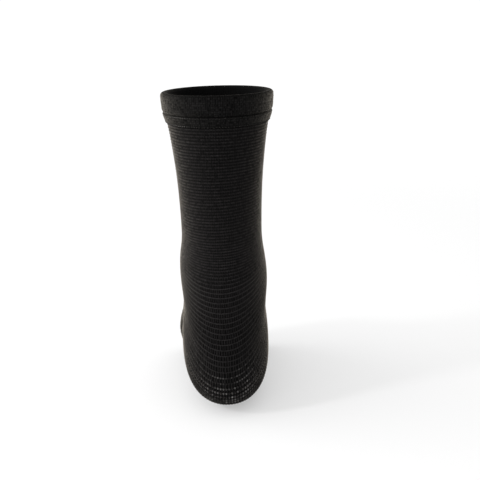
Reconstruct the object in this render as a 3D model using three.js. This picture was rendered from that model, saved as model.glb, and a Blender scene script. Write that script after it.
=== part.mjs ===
// Elastic ankle support, in the form it takes when worn: a knitted sleeve from the lower calf, round a closed heel,
// to the middle of the foot, with a folded hem at each open end.
// Millimetres. +X is the outer side of the ankle, +Y points to the toes and +Z goes up the leg. The origin is on the
// inside of the sole, straight below the leg.
import * as THREE from 'three';
import { ParametricGeometry } from 'three/addons/geometries/ParametricGeometry.js';
import { mergeVertices } from 'three/addons/utils/BufferGeometryUtils.js';

const KNIT = 1.3; // thickness of the knitted wall
const GAP = 0.3; // clearance between the sleeve's edge and the fold of a hem
const AROUND = 44; // facets round a section

// Rings of facets along the sleeve, closest together where it turns round the heel.
const STATIONS = [
  { upTo: 64, rings: 17 },
  { upTo: 88, rings: 13 },
  { upTo: Infinity, rings: 8 },
];

const LEG_RIM = -9; // course at the rim of the leg opening
const FOOT_RIM = 117; // course at the rim of the foot opening
const LEG_COURSE = 2.15; // millimetres from one course to the next at the leg opening
const FOOT_COURSE = 2.3; // and at the foot opening
const FOLD = 1.9; // how far below the rim the inside of a hem's fold lies

// Sections of the knit's outer face, one row each, in the order of the knitted courses. A section lies in the plane
// through its back and front points, which are on the middle line; half is its half width, skew moves its widest
// place towards the back where it is negative, and square is its roundness, 2 for an ellipse and more for a fuller one.
const SECTIONS = [
  { course: -9, backY: -40.5, backZ: 222.5, frontY: 41.0, frontZ: 223.5, half: 36.2, skew: 0.0, square: 2.05 },
  { course: 0, backY: -39.0, backZ: 203.0, frontY: 39.0, frontZ: 205.0, half: 34.9, skew: 0.0, square: 2.05 },
  { course: 5, backY: -38.3, backZ: 192.5, frontY: 38.2, frontZ: 194.8, half: 33.3, skew: 0.0, square: 2.05 },
  { course: 20, backY: -36.5, backZ: 162.0, frontY: 36.0, frontZ: 165.0, half: 30.0, skew: 0.0, square: 2.05 },
  { course: 38, backY: -35.0, backZ: 124.0, frontY: 35.5, frontZ: 131.5, half: 28.7, skew: 0.0, square: 2.05 },
  { course: 52, backY: -36.5, backZ: 94.8, frontY: 39.5, frontZ: 119.5, half: 29.7, skew: 0.0, square: 2.05 },
  { course: 60, backY: -40.0, backZ: 67.5, frontY: 44.0, frontZ: 110.0, half: 29.8, skew: 0.0, square: 2.0 },
  { course: 68, backY: -45.8, backZ: 37.5, frontY: 47.5, frontZ: 104.5, half: 29.7, skew: -0.03, square: 2.05 },
  { course: 74, backY: -44.3, backZ: 13.0, frontY: 50.5, frontZ: 101.0, half: 31.5, skew: -0.12, square: 2.08 },
  { course: 79, backY: -32.5, backZ: 0.9, frontY: 53.0, frontZ: 98.0, half: 32.2, skew: -0.2, square: 2.08 },
  { course: 85, backY: -14.5, backZ: -1.5, frontY: 56.0, frontZ: 94.6, half: 32.2, skew: -0.3, square: 2.0 },
  { course: 95, backY: 16.5, backZ: -1.3, frontY: 59.5, frontZ: 90.5, half: 32.6, skew: -0.42, square: 1.9 },
  { course: 108, backY: 57.5, backZ: -1.0, frontY: 63.5, frontZ: 85.0, half: 34.4, skew: -0.48, square: 1.8 },
  { course: 117, backY: 78.0, backZ: -0.5, frontY: 77.5, frontZ: 70.0, half: 34.0, skew: -0.48, square: 1.8 },
];
const COLUMNS = ['backY', 'backZ', 'frontY', 'frontZ', 'half', 'skew', 'square'];

// Swells over the two ankle bones, the inner one higher. turn is the share of the way round from the back.
const SWELLS = [
  { side: -1, turn: 0.75, course: 57.0, rise: 1.5 },
  { side: 1, turn: 0.25, course: 59.5, rise: 2.3 },
];
const SWELL_TURN = 0.09;
const SWELL_COURSES = 7;

// Cross section of a hem, once round it: drop is the distance below the rim and rise the distance off the knit's
// outer face. The fold takes the sleeve's edge between an outer layer with two rolls and a shorter inner layer.
const HEM = [
  { drop: 20.0, rise: GAP },
  { drop: 20.2, rise: 0.95 },
  { drop: 18.0, rise: 1.75 },
  { drop: 15.6, rise: 2.3 },
  { drop: 14.0, rise: 2.05 },
  { drop: 13.0, rise: 1.05 },
  { drop: 12.0, rise: 2.05 },
  { drop: 10.0, rise: 2.4 },
  { drop: 6.0, rise: 2.45 },
  { drop: 2.4, rise: 2.35 },
  { drop: 0.7, rise: 1.65 },
  { drop: 0.0, rise: 0.4 },
  { drop: 0.0, rise: -1.2 },
  { drop: 0.7, rise: -2.2 },
  { drop: 2.4, rise: -2.6 },
  { drop: 7.0, rise: -2.65 },
  { drop: 12.0, rise: -2.55 },
  { drop: 13.2, rise: -2.2 },
  { drop: 13.2, rise: -KNIT - GAP },
  { drop: 7.0, rise: -KNIT - GAP },
  { drop: FOLD, rise: -KNIT - GAP },
  { drop: FOLD, rise: GAP },
  { drop: 7.0, rise: GAP },
  { drop: 13.0, rise: GAP },
];

const sections = new THREE.CubicInterpolant(
  Float64Array.from(SECTIONS, (section) => section.course),
  Float64Array.from(SECTIONS.flatMap((section) => COLUMNS.map((column) => section[column]))),
  COLUMNS.length,
);

const bow = (value, power) => Math.sign(value) * Math.abs(value) ** power;

// A point of the knit's outer face: turn goes round a section from the back by way of +X to the front and home.
function knitPoint(course, turn) {
  const [backY, backZ, frontY, frontZ, half, skew, square] = sections.evaluate(course);
  const angle = 2 * Math.PI * turn;
  const round = -bow(Math.cos(angle), 2 / square);
  const forward = round + skew * (1 - round * round);
  let x = half * bow(Math.sin(angle), 2 / square);
  for (const swell of SWELLS) {
    const away = Math.hypot((turn - swell.turn) / SWELL_TURN, (course - swell.course) / SWELL_COURSES);
    x += swell.side * swell.rise * Math.exp(-away * away);
  }
  const y = (backY + frontY + forward * (frontY - backY)) / 2;
  const z = (backZ + frontZ + forward * (frontZ - backZ)) / 2;
  return new THREE.Vector3(x, y, z);
}

// The same point moved off the outer face along its normal, outward where rise is positive.
function raisedPoint(course, turn, rise) {
  const step = 0.002;
  const down = knitPoint(course + step, turn).sub(knitPoint(course - step, turn));
  const across = knitPoint(course, turn + step).sub(knitPoint(course, turn - step));
  return knitPoint(course, turn).addScaledVector(down.cross(across).normalize(), rise);
}

// A closed solid ring: the profile's course and rise, swept once round the sleeve.
function ring(name, profile, material) {
  const count = profile.length;
  const sweep = new ParametricGeometry((u, v, target) => {
    const { course, rise } = profile[Math.round(v * count) % count];
    target.copy(raisedPoint(course, (Math.round(u * AROUND) % AROUND) / AROUND, rise));
  }, AROUND, count);
  sweep.deleteAttribute('normal');
  sweep.deleteAttribute('uv');
  const geometry = mergeVertices(sweep, 1e-4);
  geometry.computeVertexNormals();
  const mesh = new THREE.Mesh(geometry, material);
  mesh.name = name;
  return mesh;
}

// The sleeve's wall goes down its inner face and back up its outer one.
function sleeveProfile() {
  const start = LEG_RIM + (FOLD + GAP) / LEG_COURSE;
  const end = FOOT_RIM - (FOLD + GAP) / FOOT_COURSE;
  const courses = [start];
  for (const { upTo, rings } of STATIONS) {
    const from = courses.at(-1);
    const to = Math.min(upTo, end);
    for (let i = 1; i <= rings; i += 1) courses.push(THREE.MathUtils.lerp(from, to, i / rings));
  }
  const inner = courses.map((course) => ({ course, rise: -KNIT }));
  const outer = courses.map((course) => ({ course, rise: 0 })).reverse();
  return [...inner, ...outer];
}

const legHemProfile = HEM.map(({ drop, rise }) => ({ course: LEG_RIM + drop / LEG_COURSE, rise }));
const footHemProfile = HEM.map(({ drop, rise }) => ({ course: FOOT_RIM - drop / FOOT_COURSE, rise })).reverse();

const knit = new THREE.MeshStandardMaterial({ color: 0x1d1c1d, roughness: 0.95, metalness: 0 });
const welt = new THREE.MeshStandardMaterial({ color: 0x171617, roughness: 0.92, metalness: 0 });

const ankleSupport = new THREE.Group();
ankleSupport.name = 'elastic_ankle_support';
ankleSupport.add(
  ring('knit_sleeve', sleeveProfile(), knit),
  ring('top_hem', legHemProfile, welt),
  ring('foot_hem', footHemProfile, welt),
);

export default ankleSupport;
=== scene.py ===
"""Looks of the elastic ankle support: ribbed knit, folded hems, stitches, floor, light and camera.

Metres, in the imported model's frame: +Z up the leg, +Y to the toes, the origin on the inside of the sole.
Shapes are worked out in millimetres over two parameters: the course, which counts knitted rows from the leg
opening to the foot opening, and the share of the way round a course from the back by way of +X.
"""

import bpy
import numpy as np
from mathutils import Matrix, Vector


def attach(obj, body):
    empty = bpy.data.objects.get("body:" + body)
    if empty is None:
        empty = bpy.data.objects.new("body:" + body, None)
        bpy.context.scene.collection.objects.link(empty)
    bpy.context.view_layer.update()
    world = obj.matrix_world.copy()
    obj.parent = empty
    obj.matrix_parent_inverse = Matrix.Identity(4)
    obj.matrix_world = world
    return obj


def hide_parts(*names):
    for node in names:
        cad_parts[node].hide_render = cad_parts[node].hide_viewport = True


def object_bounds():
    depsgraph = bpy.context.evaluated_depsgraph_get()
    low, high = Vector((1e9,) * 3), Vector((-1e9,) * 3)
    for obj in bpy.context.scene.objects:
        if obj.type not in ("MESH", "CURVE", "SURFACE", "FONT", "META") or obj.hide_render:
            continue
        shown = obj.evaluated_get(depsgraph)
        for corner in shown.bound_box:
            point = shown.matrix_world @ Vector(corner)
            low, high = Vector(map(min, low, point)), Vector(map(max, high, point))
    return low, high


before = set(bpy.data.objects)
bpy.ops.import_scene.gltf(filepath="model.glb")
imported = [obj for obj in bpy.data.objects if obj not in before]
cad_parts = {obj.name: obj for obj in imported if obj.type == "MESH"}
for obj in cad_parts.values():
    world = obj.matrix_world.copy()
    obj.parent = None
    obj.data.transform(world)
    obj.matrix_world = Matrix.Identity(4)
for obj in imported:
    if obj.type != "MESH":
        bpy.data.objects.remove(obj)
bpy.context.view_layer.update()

MM = 0.001
FULL_TURN = 2 * np.pi

# Courses at the rims of the two openings, and millimetres from one course to the next beside them.
LEG_RIM = -9.0
FOOT_RIM = 117.0
LEG_COURSE = 2.15
FOOT_COURSE = 2.3

# The hem of each opening: course at its rim, millimetres to a course from there on, and the node it replaces.
LEG_END = (LEG_RIM, LEG_COURSE, "top_hem")
FOOT_END = (FOOT_RIM, -FOOT_COURSE, "foot_hem")

# Courses at which the heel's knit takes over from the leg's, and at which the foot hem begins.
HEEL_START = 52
FOOT_HEM = 108

# Wales round the leg, round the heel and foot, and round a hem.
LEG_WALES = 128
HEEL_WALES = 150
HEM_WALES = 168

# Millimetres: thickness of the knitted wall, clearance in a hem's fold, the sleeve's edge below the rim.
KNIT = 1.3
GAP = 0.3
EDGE_DROP = 2.2

# Steps round a section in the table that spaces the wales evenly: turns measured and shares kept.
TURN_STEPS = 720
SHARE_STEPS = 360

# Sections of the knit's outer face in millimetres, one row each.
# course, back y, back z, front y, front z, half width, skew, square
SECTIONS = np.array([
    (-9, -40.5, 222.5, 41.0, 223.5, 36.2, 0.0, 2.05),
    (0, -39.0, 203.0, 39.0, 205.0, 34.9, 0.0, 2.05),
    (5, -38.3, 192.5, 38.2, 194.8, 33.3, 0.0, 2.05),
    (20, -36.5, 162.0, 36.0, 165.0, 30.0, 0.0, 2.05),
    (38, -35.0, 124.0, 35.5, 131.5, 28.7, 0.0, 2.05),
    (52, -36.5, 94.8, 39.5, 119.5, 29.7, 0.0, 2.05),
    (60, -40.0, 67.5, 44.0, 110.0, 29.8, 0.0, 2.0),
    (68, -45.8, 37.5, 47.5, 104.5, 29.7, -0.03, 2.05),
    (74, -44.3, 13.0, 50.5, 101.0, 31.5, -0.12, 2.08),
    (79, -32.5, 0.9, 53.0, 98.0, 32.2, -0.2, 2.08),
    (85, -14.5, -1.5, 56.0, 94.6, 32.2, -0.3, 2.0),
    (95, 16.5, -1.3, 59.5, 90.5, 32.6, -0.42, 1.9),
    (108, 57.5, -1.0, 63.5, 85.0, 34.4, -0.48, 1.8),
    (117, 78.0, -0.5, 77.5, 70.0, 34.0, -0.48, 1.8),
])

# Swells over the ankle bones: side, turn, course, rise in millimetres.
SWELLS = ((-1, 0.75, 57.0, 1.5), (1, 0.25, 59.5, 2.3))
SWELL_TURN = 0.09
SWELL_COURSES = 7.0

# The heel: course where its sole begins, courses over which the stretch of its knit comes and goes, height at
# which its underside begins and depth over which that takes hold, in millimetres.
SOLE_START = 78
STRETCH_COURSES = 4
UNDER_HEIGHT = 37
UNDER_DEPTH = 20

# The ankle's paler knit: course of its middle, and courses to each side.
ANKLE_COURSE = 44
ANKLE_REACH = 18

# The rows' slant in courses, with the courses over which it comes in at the leg and goes out at the foot hem.
SLANT = 0.9
SLANT_IN = 30
SLANT_OUT = 12

# A raised course: angles of the points across it, limits of its half height and of its thickness and depth of
# its middle in millimetres, and the ways it wanders, each in courses and in waves round the sleeve.
RIB_BEND = np.radians((-118, -58, 0, 58, 118))
RIB_HIGH = (0.15, 0.42)
RIB_THICK = (0.2, 0.48)
RIB_DEPTH = 0.25
RIB_DRIFT = ((0.02, 3), (0.015, 7))

# Beads of the stretched heel: course where they begin, share to each side of the back, and places in a patch
# of their painted glints.
BEAD_START = 68
BEAD_REACH = 0.072
BEAD_PATCH = 10

# A leg of a loop: its ends between two courses, its corners to each side and their heights in millimetres,
# its half width as a share of a wale, and its least distance from the wall's inner face in millimetres.
RUNG_ENDS = np.array((0.12, 0.88))[:, None]
RUNG_SIDES = np.array((-1.0, -0.65, 0.65, 1.0))
RUNG_RISES = np.array((-0.35, 0.25, 0.25, -0.35))
RUNG_HALF = 0.26
RUNG_COVER = 0.15

# Legs of the loops in the stretched heel: course where they rise and share to each side of the back, then the
# course from which painted shade darkens them beside the back, the courses that takes, and the share that
# stays pale.
LADDER_START = 63
LADDER_REACH = 0.25
ASIDE_START = 58
ASIDE_COURSES = 8
ASIDE_BACK = 0.13

# The wall behind the courses: its rings, the depth of its outer face in millimetres, the course from which
# its painted shade deepens and the courses that takes.
WALL_RINGS = 126
WALL_DEPTH = 0.9
WALL_SHADE_START = 58
WALL_SHADE_COURSES = 10

# A hem once round its cross section, in millimetres: drop below the rim, rise off the knit's outer face.
HEM = np.array([
    (20.0, GAP), (20.3, 0.5), (20.0, 0.8), (18.8, 1.15), (17.4, 1.55), (15.8, 1.9), (14.5, 2.05),
    (13.6, 1.85), (13.2, 1.3), (13.0, 1.1), (12.8, 1.3), (12.4, 1.85), (11.4, 2.25), (9.6, 2.4), (7.5, 2.45),
    (5.0, 2.5), (2.9, 2.45), (1.5, 2.2), (0.6, 1.6), (0.1, 0.7), (0.0, -0.4), (0.2, -1.4), (0.8, -2.15),
    (2.0, -2.55), (4.5, -2.65), (8.0, -2.65), (11.5, -2.55), (12.8, -2.4), (13.3, -2.1),
    (13.2, -KNIT - GAP), (7.0, -KNIT - GAP), (1.9, -KNIT - GAP), (1.9, GAP), (7.0, GAP), (13.0, GAP),
])

# A hem's knit: millimetres from one low row to the next, low rows with loops of their own, and the drop and
# width of the painted shade in the groove, in millimetres.
HEM_PITCH = 1.4
HEM_ROWS = 20
GROOVE_DROP = 13.0
GROOVE_WIDTH = 0.6

# A stitch: angles of its rings from end to end, and of the sides round it. The painted light on the thread:
# how far its middle lies before the back, and how far it reaches to each side, as shares.
STITCH_ALONG = np.radians((165, 130, 90, 50, 15))[:, None]
STITCH_SIDES = np.radians(np.arange(0, 360, 60))
PAINTED_LIGHT_BEFORE = 0.13
PAINTED_LIGHT_REACH = 0.06

# Yarn: features a metre of its mottle and of its fibres, depth of the fibres in metres, and colours of the
# painted glints on its beads and of the sheen on its fuzz.
MOTTLE_SCALE = 1600.0
FIBRE_SCALE = 3800.0
FIBRE_DEPTH = 0.00025
GLINT_COLOUR = (0.2, 0.195, 0.19, 1.0)
FUZZ_COLOUR = (1.0, 0.91, 0.78, 1.0)

# How far loose fibres lean the knit's shading from the yarn's normal to the cloth's.
FUZZ = 0.7

# Sockets by place, where a name would not tell them apart.
MIX_FACTOR, MIX_LOW, MIX_HIGH, MIX_RESULT = 0, 6, 7, 2
ATTRIBUTE_NUMBER = 2

WHITE = (1.0, 1.0, 1.0, 1.0)

# The floor: its radius, the distances between which it fades out and its gap under the object in metres, and
# the points round it.
FLOOR_RADIUS = 1.4
FADE_START = 0.45
FADE_END = 1.3
FLOOR_GAP = 0.0004
FLOOR_POINTS = 96

# The camera: distance from the leg's axis and height in metres, sensor width in millimetres, and focal length
# in widths of the picture.
CAMERA_AWAY = 0.478
CAMERA_HEIGHT = 0.2575
SENSOR_WIDTH = 36.0
FOCAL_WIDTHS = 686.0 / 480.0


def ramp(value, start, length):
    """From 0 at start to 1 a length further, straight between them. It goes down where length is negative."""
    return np.clip((value - start) / length, 0, 1)


def bell(distance, reach):
    """1 in the middle, falling off to both sides as exp(-(distance / reach)^2)."""
    return np.exp(-((distance / reach) ** 2))


def cubic_rows(rows, at):
    """Cubic through the rows of a table. The slope at a row is the mean of the straight slopes beside it."""
    knots, values = rows[:, 0], rows[:, 1:]
    straight = np.diff(values, axis=0) / np.diff(knots)[:, None]
    slopes = np.vstack((straight[:1], (straight[1:] + straight[:-1]) / 2, straight[-1:]))
    i = np.clip(np.searchsorted(knots, at, side="right") - 1, 0, len(knots) - 2)
    width = (knots[i + 1] - knots[i])[..., None]
    p = ramp(at[..., None], knots[i][..., None], width)
    return ((2 * p**3 - 3 * p**2 + 1) * values[i] + (p**3 - 2 * p**2 + p) * width * slopes[i]
            + (3 * p**2 - 2 * p**3) * values[i + 1] + (p**3 - p**2) * width * slopes[i + 1])


def knit_face(course, turn):
    """Outer face of the knit in millimetres. In a section's plane it is the superellipse with
    across = half * sin^(2/square) and forward = -cos^(2/square), forward bent by skew * (1 - forward^2),
    and each ankle bone adds rise * exp(-distance^2) across."""
    course, turn = np.broadcast_arrays(np.asarray(course, float), np.asarray(turn, float))
    back_y, back_z, front_y, front_z, half, skew, square = np.moveaxis(cubic_rows(SECTIONS, course), -1, 0)
    angle = FULL_TURN * turn
    cosine, sine = np.cos(angle), np.sin(angle)
    forward = -np.sign(cosine) * np.abs(cosine) ** (2 / square)
    x = half * np.sign(sine) * np.abs(sine) ** (2 / square)
    forward = forward + skew * (1 - forward**2)
    for side, at_turn, at_course, rise in SWELLS:
        away = ((turn % 1 - at_turn) / SWELL_TURN) ** 2 + ((course - at_course) / SWELL_COURSES) ** 2
        x = x + side * rise * np.exp(-away)
    y = (back_y + front_y + forward * (front_y - back_y)) / 2
    z = (back_z + front_z + forward * (front_z - back_z)) / 2
    return np.stack((x, y, z), -1)


def outward(course, turn):
    """Normal of the knit's outer face: the cross product of its two slopes, made one long."""
    step = 0.002
    down = knit_face(course + step, turn) - knit_face(course - step, turn)
    across = knit_face(course, turn + step) - knit_face(course, turn - step)
    normal = np.cross(down, across)
    return normal / np.linalg.norm(normal, axis=-1, keepdims=True)


def lifted(course, turn, rise):
    """Outer face moved off along its normal by rise, with the normal."""
    course = np.clip(course, LEG_RIM, FOOT_RIM)
    normal = outward(course, turn)
    return knit_face(course, turn) + normal * np.asarray(rise)[..., None], normal


def even_turn_table():
    """Turn at each course and even share of the way round: the running length of a section, inverted.
    Returns the table and each course's length in millimetres."""
    turn = np.linspace(0, 1, TURN_STEPS + 1)
    loops = knit_face(np.arange(LEG_RIM, FOOT_RIM + 0.5)[:, None], turn[None])
    run = np.cumsum(np.linalg.norm(np.diff(loops, axis=1), axis=2), axis=1)
    run = np.hstack((np.zeros((len(run), 1)), run))
    share = np.linspace(0, 1, SHARE_STEPS + 1)
    return np.array([np.interp(share, row / row[-1], turn) for row in run]), run[:, -1]


TURNS, GIRTHS = even_turn_table()


def wale_turn(course, share):
    """Turn of a place that lies an even share of the way round its course, linear between the table's
    entries. Courses stay just short of the table's last row, so that one follows."""
    course, share = np.broadcast_arrays(np.asarray(course, float), np.asarray(share, float))
    row = np.clip(course - LEG_RIM, 0, len(TURNS) - 1.001)
    column = (share % 1) * SHARE_STEPS
    i, j = row.astype(int), np.minimum(column.astype(int), SHARE_STEPS - 1)
    a, b = row - i, column - j
    return ((1 - a) * ((1 - b) * TURNS[i, j] + b * TURNS[i, j + 1])
            + a * ((1 - b) * TURNS[i + 1, j] + b * TURNS[i + 1, j + 1]))


def course_gap(course, turn):
    """Millimetres from one course to the next at a place."""
    step = 0.25
    reach = knit_face(course + step, turn) - knit_face(course - step, turn)
    return np.linalg.norm(reach, axis=-1) / (2 * step)


def ring_quads(rows, columns):
    """Quads of a grid that closes both ways. A point's index is row * columns + column."""
    i, j = np.meshgrid(np.arange(rows), np.arange(columns), indexing="ij")
    here, after = i * columns, (i + 1) % rows * columns
    beside = (j + 1) % columns
    return np.stack((here + j, here + beside, after + beside, after + j), -1).reshape(-1, 4)


def stub_quads(rows, columns):
    """Quads of a short tube along rows, with quads from side to side over both ends."""
    sides = ring_quads(rows, columns)[: (rows - 1) * columns]
    half = columns // 2
    caps = np.array([(i, i + 1, columns - 2 - i, columns - 1 - i) for i in range(half - 1)])
    return np.vstack((sides, caps[:, ::-1], caps + (rows - 1) * columns))


def repeat_quads(quads, size, count):
    """The same quads for each of count copies that have size points."""
    return (quads[None] + (np.arange(count) * size)[:, None, None]).reshape(-1, 4)


def cloth_piece(name, placed, quads, material, slot, node, fuzz=0.0, **values):
    """Mesh object from points in millimetres and quads, turned outward by the sign of its volume. placed
    holds the points and the cloth's normal there. fuzz leans the shading from the yarn's own normal towards
    the cloth's, as loose fibres over the yarn do. values are numbers for each point, kept as attributes that
    the material reads."""
    shape = placed[0].shape[:-1]
    lean = np.broadcast_to(fuzz, shape).reshape(-1, 1)
    points, normal = (part.reshape(-1, 3) for part in placed)
    points = points * MM
    a, b, c, d = (points[quads[:, i]] for i in range(4))
    volume = np.sum(a * (np.cross(b, c) + np.cross(c, d)))
    quads = quads if volume > 0 else quads[:, ::-1]
    mesh = bpy.data.meshes.new(name)
    mesh.vertices.add(len(points))
    mesh.vertices.foreach_set("co", points.ravel())
    mesh.loops.add(quads.size)
    mesh.loops.foreach_set("vertex_index", quads.astype(np.int32).ravel())
    mesh.polygons.add(len(quads))
    mesh.polygons.foreach_set("loop_start", np.arange(0, quads.size, 4, dtype=np.int32))
    mesh.update(calc_edges=True)
    mesh.validate()
    mesh.shade_smooth()
    if lean.any():
        own = np.empty(len(points) * 3, dtype=np.float32)
        mesh.vertex_normals.foreach_get("vector", own)
        leaning = (1 - lean) * own.reshape(-1, 3) + lean * normal
        leaning /= np.linalg.norm(leaning, axis=1, keepdims=True)
        mesh.normals_split_custom_set_from_vertices(leaning)
    for label, numbers in values.items():
        attribute = mesh.attributes.new(label, "FLOAT", "POINT")
        spread = np.ascontiguousarray(np.broadcast_to(numbers, shape), dtype=np.float32)
        attribute.data.foreach_set("value", spread.ravel())
    mesh.materials.append(material)
    piece = bpy.data.objects.new(name, mesh)
    bpy.context.scene.collection.objects.link(piece)
    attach(piece, "root")
    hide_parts(node)


class Value:
    """An output in a finish's tree. Arithmetic on it adds Math nodes to the tree."""

    def __init__(self, finish, socket):
        self.finish = finish
        self.socket = socket

    def math(self, operation, *terms):
        return self.finish.node("ShaderNodeMath", {"operation": operation}, dict(enumerate(terms)))

    def __add__(self, other):
        return self.math("ADD", self, other)

    __radd__ = __add__

    def __sub__(self, other):
        return self.math("SUBTRACT", self, other)

    def __rsub__(self, other):
        return self.math("SUBTRACT", other, self)

    def __mul__(self, other):
        return self.math("MULTIPLY", self, other)

    __rmul__ = __mul__


class Finish:
    """The node tree of a material or of the surroundings, emptied."""

    def __init__(self, owner):
        owner.use_nodes = True
        self.owner = owner
        self.tree = owner.node_tree
        self.tree.nodes.clear()

    def node(self, kind, settings=None, sockets=None, out=0):
        """Add a node: settings first, then values or links for its sockets. Returns one of its outputs."""
        node = self.tree.nodes.new(kind)
        for key, value in (settings or {}).items():
            setattr(node, key, value)
        for key, value in (sockets or {}).items():
            if isinstance(value, Value):
                self.tree.links.new(value.socket, node.inputs[key])
            else:
                node.inputs[key].default_value = value
        return Value(self, node.outputs[out])

    def place(self):
        """The object's own coordinates, in metres."""
        return self.node("ShaderNodeTexCoord", out="Object")

    def carried(self, label):
        """The number that the piece carries under a label, 0 where it carries none."""
        return self.node("ShaderNodeAttribute", {"attribute_name": label}, out=ATTRIBUTE_NUMBER)

    def blend(self, factor, low, high):
        """Mix of two colours, each a colour or a link."""
        return self.node("ShaderNodeMix", {"data_type": "RGBA"},
                         {MIX_FACTOR: factor, MIX_LOW: low, MIX_HIGH: high}, MIX_RESULT)

    def shaders(self, factor, first, second):
        """Mix of two shaders, the first where the factor is 0."""
        return self.node("ShaderNodeMixShader", None, {0: factor, 1: first, 2: second})

    def grain(self, place, scale, detail=2.0):
        """Noise at a scale in features a metre, from 0 to 1."""
        return self.node("ShaderNodeTexNoise", None, {"Vector": place, "Scale": scale, "Detail": detail})

    def eased(self, value, start, end, low, high):
        """From low where the value is at start to high where it is at end, gently at both."""
        return self.node("ShaderNodeMapRange", {"interpolation_type": "SMOOTHSTEP"}, {
            "Value": value, "From Min": start, "From Max": end, "To Min": low, "To Max": high})

    def done(self, surface, output="ShaderNodeOutputMaterial"):
        """Link a shader to the output. Returns the material or surroundings."""
        self.tree.links.new(surface.socket, self.tree.nodes.new(output).inputs["Surface"])
        return self.owner


def yarn_finish(name, deep, pale, fuzz, fibre, gloss):
    """Dull elastic yarn. The piece's tone and a mottle run its colour from deep to pale, and where the piece
    carries a glint above 0, a pale painted glint shows. Fine noise gives the fibres relief of the strength
    fibre, and sheen of the weight fuzz lights the loose ones. Where the piece is smooth, a worn surface with
    little sheen and less gloss takes over."""
    finish = Finish(bpy.data.materials.new(name))
    place = finish.place()
    mottle = finish.grain(place, MOTTLE_SCALE)
    fibres = finish.grain(place, FIBRE_SCALE, 3.0)
    shade = finish.carried("tone") * 0.75 + (mottle - 0.5) * 0.9 + (fibres - 0.5) * 0.4
    # A paler colour where the piece carries a glint: painted glints.
    colour = finish.blend(finish.carried("bare"), finish.blend(shade, deep, pale), GLINT_COLOUR)
    relief = finish.node("ShaderNodeBump", None, {
        "Strength": fibre, "Distance": FIBRE_DEPTH, "Height": fibres})
    fuzzy, worn = (finish.node("ShaderNodeBsdfPrincipled", None, {
        "Base Color": colour,
        "Roughness": 0.72 + fibres * 0.25,
        "Normal": relief,
        "Specular IOR Level": shine * gloss,
        "Sheen Weight": weight * fuzz,
        "Sheen Roughness": 0.34,
        "Sheen Tint": FUZZ_COLOUR,
    }) for weight, shine in ((1.0, 1.0), (0.1, 0.6)))
    return finish.done(finish.shaders(finish.carried("smooth"), fuzzy, worn))


def floor_finish():
    """Pale floor that gives off a little light, so that its shadows stay light. It fades out with distance
    from the object, so that it has no edge."""
    finish = Finish(bpy.data.materials.new("pale_floor"))
    reach = finish.node("ShaderNodeVectorMath", {"operation": "LENGTH"}, {0: finish.place()}, out=1)
    fade = finish.eased(reach, FADE_START, FADE_END, 0.0, 1.0)
    ground = finish.node("ShaderNodeBsdfPrincipled", None, {
        "Base Color": (0.55, 0.55, 0.55, 1.0),
        "Roughness": 1.0,
        "Specular IOR Level": 0.0,
        "Emission Color": WHITE,
        "Emission Strength": 0.36,
    })
    return finish.done(finish.shaders(fade, ground, finish.node("ShaderNodeBsdfTransparent")))


def room_light():
    """White surroundings that are dimmer far to the right."""
    room = Finish(bpy.data.worlds.new("white_room"))
    rightward = room.node("ShaderNodeSeparateXYZ", None, {0: room.node("ShaderNodeTexCoord")})
    strength = room.eased(rightward, 0.45, 0.95, 1.05, 0.6)
    glow = room.node("ShaderNodeBackground", None, {"Color": WHITE, "Strength": strength})
    return room.done(glow, "ShaderNodeOutputWorld")


def near_back(share, reach):
    """1 along the middle of the back, falling off to both sides."""
    return bell((share + 0.5) % 1 - 0.5, reach)


def heel_stretch(course, share, start, reach):
    """How far the knit is stretched under the back of the heel, from 0 to 1: it grows from the course start,
    ends under the sole, and falls off to both sides."""
    grown = ramp(course, start, STRETCH_COURSES) * ramp(course, SOLE_START, -STRETCH_COURSES)
    return grown * near_back(share, reach)


def under_heel(points):
    """From 0 on the leg to 1 at the lowest places of the heel and foot, by height."""
    return ramp(points[..., 2], UNDER_HEIGHT, -UNDER_DEPTH)


def ankle_tone(course):
    """How much paler the knit is round the ankle: 1 at its middle, falling off up and down."""
    return bell(course - ANKLE_COURSE, ANKLE_REACH)


def slant(course, share):
    """Courses by which a row that is drawn up aslant departs from level, as -sin(turn): it rises towards +X
    at the back, and the slant fades out towards both hems."""
    fade = ramp(course, 0, SLANT_IN) * ramp(course, FOOT_HEM, -SLANT_OUT)
    return -SLANT * fade * np.sin(FULL_TURN * share)


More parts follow.
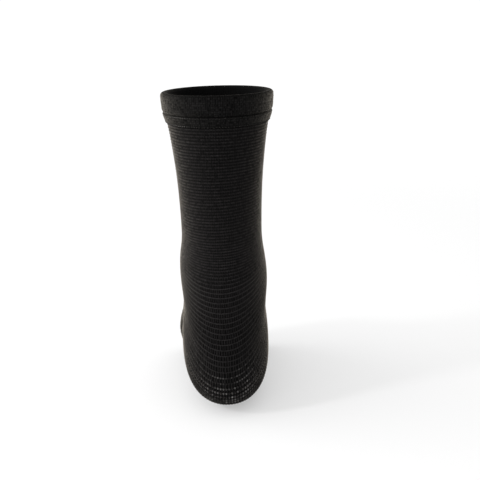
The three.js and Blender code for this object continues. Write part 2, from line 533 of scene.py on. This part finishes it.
def course_ribs(name, courses, wales, loop, pale, speck, worn, finish, seed):
    """Raised courses. Each is a closed ring of places, with points across at the angles RIB_BEND: they lie
    high * sin(angle) down the sleeve and rise thick * cos(angle) - RIB_DEPTH, where high and thick follow the
    gap to the next course. Every other place is the crown of a loop and swells by loop. Tones lie round pale,
    flecked by speck, and worn smooths the yarn. The crowns are painted lighter and the places between them
    darker, as painted light and shade. Where the heel stretches the knit, the crowns stand out as beads and
    in patches carry painted glints. Under the heel the yarn is less flecked and less fuzzy, and it is painted
    darker towards the back, as painted shade."""
    rng = np.random.default_rng(seed)
    courses = np.asarray(courses, float)[:, None]
    around = 2 * wales
    share = np.arange(around) / around
    crown = np.where(np.arange(around) % 2 == 0, 1.0, -1.0)
    size = rng.normal(0, 1, (len(courses), around))
    patch = rng.normal(0, 1, (len(courses), around // BEAD_PATCH + 1))
    patch = patch.repeat(BEAD_PATCH, axis=1)[:, :around]
    starts = rng.uniform(0, 1, (2, len(courses), 1))
    drift = sum(by * np.sin(FULL_TURN * (waves * share + start))
                for (by, waves), start in zip(RIB_DRIFT, starts))
    place = courses + slant(courses, share) + drift + 0.6 * loop * crown
    turn = wale_turn(place, share)
    gap = course_gap(place, turn)
    stretch = heel_stretch(courses, share, BEAD_START, BEAD_REACH)
    under = under_heel(knit_face(place, turn))
    low = 0.7 * under * near_back(share, 0.2)
    fleck = speck * size * (1 - 0.7 * under)
    swell = 1 + loop * (crown + 0.5 * size) + (0.55 * stretch + 0.25 * under) * crown
    high = np.clip(0.22 * gap, *RIB_HIGH) * swell
    thick = np.clip(0.24 * gap, *RIB_THICK) * swell
    course = place[..., None] + (high / gap)[..., None] * np.sin(RIB_BEND)
    placed = lifted(course, turn[..., None], thick[..., None] * np.cos(RIB_BEND) - RIB_DEPTH)
    across = len(RIB_BEND)
    quads = repeat_quads(ring_quads(around, across), around * across, len(courses))
    # Tone: loop crowns lighter and the places between them darker, more so under the heel and between
    # stretched beads, as painted light and shade; darker under the back of the heel, as painted shade.
    tone = pale + 0.28 * ankle_tone(place) - 0.25 * low + fleck + (0.15 + 0.25 * under) * crown
    tone = np.clip(tone - 0.4 * stretch * (crown < 0), 0, 1.5)
    # Pale colour on the bead crowns where the heel stretches, in patches: painted glints.
    bare = np.where(crown > 0, stretch * np.clip(0.26 + 0.29 * size + 0.15 * patch, 0, 1), 0)
    smooth = np.clip(low + worn - 2 * fleck - 0.2 * under * crown, 0, 1)
    lean = FUZZ * (1 - 0.7 * under)
    cloth_piece(name, placed, quads, finish, "black_knit", "knit_sleeve", lean[..., None],
                tone=tone[..., None], bare=bare[..., None], smooth=smooth[..., None])


def wale_rungs(name, courses, count, sink, pale, finish, seed):
    """Legs of the loops between two courses, count of them round each. Each is a short closed bar along the
    wale with four corners, sunk below the courses, less where the heel is stretched and more under it. Tones
    lie round pale, and to both sides of the heel's back the legs are painted darker, as shade in the gaps
    between the courses, and are smoother."""
    rng = np.random.default_rng(seed)
    courses = np.asarray(courses, float)[:, None, None, None]
    shape = (courses.size, count, 1, 1)
    sideways = rng.normal(0, 0.2, (courses.size, 1, 1, 1)) + rng.normal(0, 0.08, shape)
    share = (np.arange(count)[None, :, None, None] + sideways) / count
    half = RUNG_HALF / count * (1 + rng.normal(0, 0.12, shape))
    course = courses + RUNG_ENDS + slant(courses + RUNG_ENDS, share)
    turn = wale_turn(course, share + half * RUNG_SIDES)
    stretch = heel_stretch(courses, share, LADDER_START, LADDER_REACH)
    low = under_heel(knit_face(course, turn))
    rise = RUNG_RISES - sink + 0.15 * stretch - 0.1 * low + rng.normal(0, 0.05, shape)
    placed = lifted(course, turn, np.maximum(rise, RUNG_COVER - KNIT))
    ends, corners = len(RUNG_ENDS), len(RUNG_SIDES)
    quads = repeat_quads(stub_quads(ends, corners), ends * corners, courses.size * count)
    lower = np.maximum(low, 0.6 * ramp(course, ASIDE_START, ASIDE_COURSES))
    aside = lower * (1 - near_back(share, ASIDE_BACK))
    # Beside the heel's back the tone drops: painted shade in the gaps between the courses.
    tone = pale + 0.2 * ankle_tone(course) + 0.1 * stretch - 0.3 * aside + rng.normal(0, 0.08, shape)
    smooth = np.maximum(low, 0.6 + 0.4 * aside)
    cloth_piece(name, placed, quads, finish, "black_knit", "knit_sleeve", FUZZ,
                tone=np.clip(tone, 0, 1), smooth=smooth)


def knit_lining(name, finish):
    """Wall behind the courses: a closed shell between two faces below the knit's outer face. Its low tone is
    painted shade in the gaps between the courses, deeper from the ankle on, where the wall is also smoother."""
    rows = np.linspace(LEG_RIM + EDGE_DROP / LEG_COURSE, FOOT_RIM - EDGE_DROP / FOOT_COURSE, WALL_RINGS)
    course = np.concatenate((rows, rows[::-1]))[:, None]
    depth = np.repeat((WALL_DEPTH, KNIT), WALL_RINGS)[:, None]
    share = np.arange(LEG_WALES) / LEG_WALES
    placed = lifted(course, wale_turn(course, share), -depth)
    # Painted shade in the gaps between the courses, deeper from the ankle on.
    dark = ramp(course, WALL_SHADE_START, WALL_SHADE_COURSES)
    cloth_piece(name, placed, ring_quads(2 * WALL_RINGS, LEG_WALES), finish, "black_knit", "knit_sleeve",
                tone=0.2 - 0.2 * dark, smooth=0.7 + 0.3 * dark)


def hem_profile(shown, hidden):
    """Places round a hem's cross section through the rows of HEM: shown ones up its outer layer to the rim
    and hidden ones round the rest, each at even distances. Returns their drops and rises."""
    closed = np.vstack((HEM, HEM[:1]))
    run = np.concatenate(([0], np.cumsum(np.linalg.norm(np.diff(closed, axis=0), axis=1))))
    rim = run[np.argmin(HEM[:, 0])]
    outer = np.linspace(0, rim, shown, endpoint=False)
    inner = np.linspace(rim, run[-1], hidden, endpoint=False)
    return cubic_rows(np.column_stack((run, closed)), np.concatenate((outer, inner))).T


def folded_hem(name, end, finish, seed):
    """Folded hem: its cross section carried round the rim. Its outer layer is finely knitted in low rows,
    cos(drop), broken into loops of uneven height, and its upright ribs, cos(wale), are low except at the rim.
    The groove and the rim are painted darker, as shade, and the raised rows and ribs painted lighter, as
    light on their tops; the inside is dark and smooth."""
    rng = np.random.default_rng(seed)
    rim, step, node = end
    drop, rise = hem_profile(shown=96, hidden=24)
    around = 4 * HEM_WALES
    share = np.arange(around) / around
    outer = ramp(rise, 0.7, 0.8)[:, None]
    near_rim = (ramp(drop, 4, -4) * ramp(rise, -1.2, 1.2))[:, None]
    wale = np.cos(FULL_TURN * HEM_WALES * share)
    bump = (1 + np.cos(FULL_TURN * drop / HEM_PITCH)[:, None]) / 2
    groove = bell(drop - GROOVE_DROP, GROOVE_WIDTH)[:, None]
    row = (drop / HEM_PITCH + 0.5).astype(int)
    loops = rng.normal(0, 1, (HEM_ROWS, 2 * HEM_WALES))[row].repeat(2, axis=1)
    relief = outer * (bump * (0.14 + 0.09 * loops) + 0.05 * wale) + 0.25 * near_rim**2 * wale
    course = (rim + drop / step)[:, None]
    placed = lifted(course, wale_turn(course, share), rise[:, None] + relief)
    # Tone: lighter on the raised rows and ribs, painted light on their tops; darker at the rim and in the
    # groove, painted shade.
    tone = 0.2 - 0.2 * near_rim + outer * bump * (0.3 + 0.6 * loops) + (0.34 + 0.2 * near_rim) * wale - groove
    smooth = np.clip(1 - outer * (0.72 + 0.7 * bump * loops), 0, 1)
    lean = 0.5 * ramp(rise, -0.2, 1.2)[:, None]
    cloth_piece(name, placed, ring_quads(len(drop), around), finish, "black_welt", node, lean,
                tone=np.clip(tone, 0, 1.5), smooth=smooth)


def stitch_row(name, end, drop, rise, length, radius, worn, finish, seed):
    """Row of stitches round a hem, at a drop below its rim. Each is a short closed bar along the course with
    six sides, round at both ends. The thread is dull, and painted paler by worn at the inner side of the
    back,
    on the side the lamps come from: painted light."""
    rng = np.random.default_rng(seed)
    rim, step, node = end
    course = rim + drop / step
    girth = np.interp(course, np.arange(len(GIRTHS)) + LEG_RIM, GIRTHS)
    shape = (LEG_WALES, 1, 1)
    thick = radius * (1 + rng.normal(0, 0.15, shape)) * np.sin(STITCH_ALONG)
    share = (np.arange(LEG_WALES)[:, None, None] + rng.normal(0, 0.05, shape)) / LEG_WALES
    share = share + length / 2 * np.cos(STITCH_ALONG) / girth
    at = course + rng.normal(0, 0.05, shape) + thick * np.cos(STITCH_SIDES) / abs(step)
    placed = lifted(at, wale_turn(at, share), rise + thick * np.sin(STITCH_SIDES))
    rings, sides = len(STITCH_ALONG), len(STITCH_SIDES)
    quads = repeat_quads(stub_quads(rings, sides), rings * sides, LEG_WALES)
    # Paler only at the inner side of the back, on the side the lamps come from: painted light.
    tone = worn * (near_back(share + PAINTED_LIGHT_BEFORE, PAINTED_LIGHT_REACH) - 0.3 + rng.normal(0, 0.05, shape))
    cloth_piece(name, placed, quads, finish, "black_welt", node, tone=np.clip(tone, -0.5, 1))


def put_in_scene(thing, right, up, back, place):
    """Link a camera or light that stands at a place, with its three axes. It faces away from back."""
    turned = np.eye(4)
    turned[:3] = np.column_stack((right, up, back, place))
    thing.matrix_world = Matrix(turned.tolist())
    bpy.context.scene.collection.objects.link(thing)


def photo_camera():
    """Camera behind and above the heel: it stands away from the leg's axis at an azimuth, looks down by pitch
    and aside by yaw, and is rolled a little."""
    azimuth, yaw, pitch, roll = np.radians((-1.5, 1.56, 16.5, 1.62))
    place = np.array((CAMERA_AWAY * np.sin(azimuth), -CAMERA_AWAY * np.cos(azimuth), CAMERA_HEIGHT))
    heading = azimuth - yaw
    ahead = np.array((-np.sin(heading) * np.cos(pitch), np.cos(heading) * np.cos(pitch), -np.sin(pitch)))
    right = np.array((np.cos(heading), np.sin(heading), 0.0))
    up = np.cross(right, ahead)
    right, up = np.cos(roll) * right - np.sin(roll) * up, np.sin(roll) * right + np.cos(roll) * up
    camera = bpy.data.objects.new("photo_camera", bpy.data.cameras.new("photo_camera"))
    camera.data.sensor_width = SENSOR_WIDTH
    camera.data.lens = SENSOR_WIDTH * FOCAL_WIDTHS
    camera.data.clip_start = 0.01
    put_in_scene(camera, right, up, -ahead, place)
    bpy.context.scene.camera = camera


def soft_light(name, place, aim, size, power):
    """Square area light at a place, facing aim."""
    light = bpy.data.objects.new(name, bpy.data.lights.new(name, "AREA"))
    light.data.size = size
    light.data.energy = power
    back = np.subtract(place, aim)
    back /= np.linalg.norm(back)
    side = np.cross((0.0, 0.0, 1.0), back)
    side /= np.linalg.norm(side)
    put_in_scene(light, side, np.cross(back, side), back, place)


def studio():
    """White surroundings, two soft lights from the left, and a round pale floor under the object."""
    scene = bpy.context.scene
    scene.view_settings.view_transform = "Standard"
    scene.world = room_light()
    soft_light("left_window", place=(-1.1, 0.15, 0.25), aim=(0.0, 0.0, 0.08), size=1.2, power=13.5)
    soft_light("left_lamp", place=(-0.82, -0.24, 0.6), aim=(0.0, 0.0, 0.05), size=0.1, power=2.3)
    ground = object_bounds()[0][2] - FLOOR_GAP
    turn = np.linspace(0, FULL_TURN, FLOOR_POINTS, endpoint=False)
    level = np.full(FLOOR_POINTS, ground)
    disc = np.column_stack((FLOOR_RADIUS * np.cos(turn), FLOOR_RADIUS * np.sin(turn), level))
    mesh = bpy.data.meshes.new("floor")
    mesh.from_pydata(disc.tolist(), [], [list(range(FLOOR_POINTS))])
    mesh.materials.append(floor_finish())
    floor = bpy.data.objects.new("floor", mesh)
    scene.collection.objects.link(floor)


knit = yarn_finish("black_elastic_yarn", deep=(0.002, 0.002, 0.002, 1.0), pale=(0.021, 0.0195, 0.0201, 1.0),
                   fuzz=1.0, fibre=0.3, gloss=0.07)
welt = yarn_finish("black_hem_knit", deep=(0.0015, 0.0015, 0.0015, 1.0), pale=(0.0096, 0.0093, 0.0095, 1.0),
                   fuzz=0.74, fibre=0.4, gloss=0.045)
# The thread is near black; its paler colour is painted light on the lamp side.
thread = yarn_finish("dull_stitch_thread", deep=(0.006, 0.006, 0.006, 1.0), pale=(0.12, 0.116, 0.11, 1.0),
                     fuzz=0.22, fibre=0.3, gloss=0.08)

# Gaps between courses, each by the number of the course above it. A raised course lies below each.
leg_gaps = np.arange(0, HEEL_START)
heel_gaps = np.arange(HEEL_START, FOOT_HEM)

knit_lining("knit_wall", knit)
course_ribs("leg_courses", leg_gaps + 1, LEG_WALES,
            loop=0.13, pale=0.53, speck=0.14, worn=0.3, finish=knit, seed=11)
course_ribs("heel_foot_courses", heel_gaps + 1, HEEL_WALES,
            loop=0.04, pale=0.6, speck=0.09, worn=0.03, finish=knit, seed=12)
# The legs of the loops take a lower pale tone than the courses: painted shade in the gaps between them.
wale_rungs("leg_rungs", leg_gaps, LEG_WALES, sink=0.92, pale=0.36, finish=knit, seed=13)
wale_rungs("heel_foot_rungs", heel_gaps, HEEL_WALES, sink=0.65, pale=0.36, finish=knit, seed=14)
folded_hem("leg_hem", LEG_END, welt, seed=15)
folded_hem("toe_end_hem", FOOT_END, welt, seed=16)
for side, end, seed in (("leg", LEG_END, 17), ("foot", FOOT_END, 19)):
    stitch_row(side + "_groove_stitches", end, drop=14.0, rise=2.1, length=1.5, radius=0.24, worn=0.95,
               finish=thread, seed=seed)
    stitch_row(side + "_edge_stitches", end, drop=19.6, rise=1.0, length=0.95, radius=0.34, worn=1.4,
               finish=thread, seed=seed + 1)

studio()
photo_camera()
